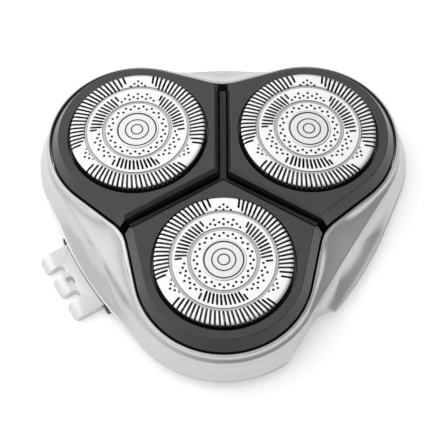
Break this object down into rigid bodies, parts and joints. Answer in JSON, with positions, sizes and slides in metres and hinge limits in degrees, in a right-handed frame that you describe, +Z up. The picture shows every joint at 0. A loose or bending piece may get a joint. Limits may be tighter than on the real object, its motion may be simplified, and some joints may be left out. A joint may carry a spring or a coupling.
{
  "type": "rotary shaver head unit",
  "caption": "Rotary shaving head unit: round steel guards over turning cutters in tilting black pods, in a silver three-lobed housing with an E-shaped hinge clip.",
  "frame": {"origin": "on the unit's own axis, in the plane of the rim that it rests on, at the centre boss's lower face", "axes": "+Z up out of the shaving faces, +Y towards the hinge clip, +X to the right when looking along +Y; one head lies towards -Y and the others at 30 and 150 degrees"},
  "size_m": [0.0604, 0.0631, 0.0126],
  "materials": {
    "silver_shell": "satin silver paint on moulded plastic",
    "clip_silver": "light satin silver",
    "chassis_plastic": "fine matt moulding",
    "pod_black": "gloss black",
    "ring_plastic": "satin dark grey",
    "hub_plastic": "satin grey",
    "guard_steel": "polished stainless steel",
    "cap_steel": "polished stainless steel",
    "cutter_steel": "ground stainless steel",
    "pin_steel": "drawn steel",
    "screw_steel": "zinc-plated steel",
    "spring_steel": "spring wire"
  },
  "bodies": {
    "frame": {"housing": "silver_shell", "chassis": "chassis_plastic", "pivot_pins": "pin_steel", "chassis_screws": "screw_steel", "hinge_pin": "pin_steel", "pod_spring_front": "spring_steel", "pod_spring_right": "spring_steel", "pod_spring_left": "spring_steel"},
    "clip": {"hinge_clip": "clip_silver"},
    "pod_front": {"pod_cover_front": "pod_black", "wave_spring_front": "spring_steel"},
    "ring_front": {"retaining_ring_front": "ring_plastic"},
    "guard_unit_front": {"guard_front": "guard_steel", "guard_cap_front": "cap_steel"},
    "cutter_unit_front": {"cutter_front": "cutter_steel", "cutter_hub_front": "hub_plastic"},
    "pod_right": {"pod_cover_right": "pod_black", "wave_spring_right": "spring_steel"},
    "ring_right": {"retaining_ring_right": "ring_plastic"},
    "guard_unit_right": {"guard_right": "guard_steel", "guard_cap_right": "cap_steel"},
    "cutter_unit_right": {"cutter_right": "cutter_steel", "cutter_hub_right": "hub_plastic"},
    "pod_left": {"pod_cover_left": "pod_black", "wave_spring_left": "spring_steel"},
    "ring_left": {"retaining_ring_left": "ring_plastic"},
    "guard_unit_left": {"guard_left": "guard_steel", "guard_cap_left": "cap_steel"},
    "cutter_unit_left": {"cutter_left": "cutter_steel", "cutter_hub_left": "hub_plastic"}
  },
  "joints": [
    {"name": "pod_tilt_front", "type": "hinge", "parent": "frame", "child": "pod_front", "pos_m": [0, -0.011, 0.008], "axis": [1, 0, 0], "range_deg": [0, 3], "stiffness_Nm_per_rad": 0.01, "springref_deg": -8.59, "deforming": ["pod_spring_front"]},
    {"name": "guard_float_front", "type": "slide", "parent": "pod_front", "child": "guard_unit_front", "axis": [0, 0.0715, -0.9974], "range_m": [0, 0.0006], "stiffness_N_per_m": 100, "springref_m": -0.002, "deforming": ["wave_spring_front"]},
    {"name": "cutter_spin_front", "type": "hinge", "parent": "guard_unit_front", "child": "cutter_unit_front", "pos_m": [0, -0.016, 0.0118], "axis": [0, -0.0715, 0.9974], "continuous": true},
    {"name": "ring_turn_front", "type": "hinge", "parent": "pod_front", "child": "ring_front", "pos_m": [0, -0.016, 0.0118], "axis": [0, -0.0715, 0.9974], "range_deg": [0, 25]},
    {"name": "pod_tilt_right", "type": "hinge", "parent": "frame", "child": "pod_right", "pos_m": [0.00953, 0.0055, 0.008], "axis": [-0.5, 0.866, 0], "range_deg": [0, 3], "stiffness_Nm_per_rad": 0.01, "springref_deg": -8.59, "deforming": ["pod_spring_right"]},
    {"name": "guard_float_right", "type": "slide", "parent": "pod_right", "child": "guard_unit_right", "axis": [-0.0619, -0.0357, -0.9974], "range_m": [0, 0.0006], "stiffness_N_per_m": 100, "springref_m": -0.002, "deforming": ["wave_spring_right"]},
    {"name": "cutter_spin_right", "type": "hinge", "parent": "guard_unit_right", "child": "cutter_unit_right", "pos_m": [0.01386, 0.008, 0.0118], "axis": [0.0619, 0.0357, 0.9974], "continuous": true},
    {"name": "ring_turn_right", "type": "hinge", "parent": "pod_right", "child": "ring_right", "pos_m": [0.01386, 0.008, 0.0118], "axis": [0.0619, 0.0357, 0.9974], "range_deg": [0, 25]},
    {"name": "pod_tilt_left", "type": "hinge", "parent": "frame", "child": "pod_left", "pos_m": [-0.00953, 0.0055, 0.008], "axis": [-0.5, -0.866, 0], "range_deg": [0, 3], "stiffness_Nm_per_rad": 0.01, "springref_deg": -8.59, "deforming": ["pod_spring_left"]},
    {"name": "guard_float_left", "type": "slide", "parent": "pod_left", "child": "guard_unit_left", "axis": [0.0619, -0.0357, -0.9974], "range_m": [0, 0.0006], "stiffness_N_per_m": 100, "springref_m": -0.002, "deforming": ["wave_spring_left"]},
    {"name": "cutter_spin_left", "type": "hinge", "parent": "guard_unit_left", "child": "cutter_unit_left", "pos_m": [-0.01386, 0.008, 0.0118], "axis": [-0.0619, 0.0357, 0.9974], "continuous": true},
    {"name": "ring_turn_left", "type": "hinge", "parent": "pod_left", "child": "ring_left", "pos_m": [-0.01386, 0.008, 0.0118], "axis": [-0.0619, 0.0357, 0.9974], "range_deg": [0, 25]},
    {"name": "clip_fold", "type": "hinge", "parent": "frame", "child": "clip", "pos_m": [0, 0.0251, 0.0008], "axis": [-1, 0, 0], "range_deg": [0, 90]}
  ]
}
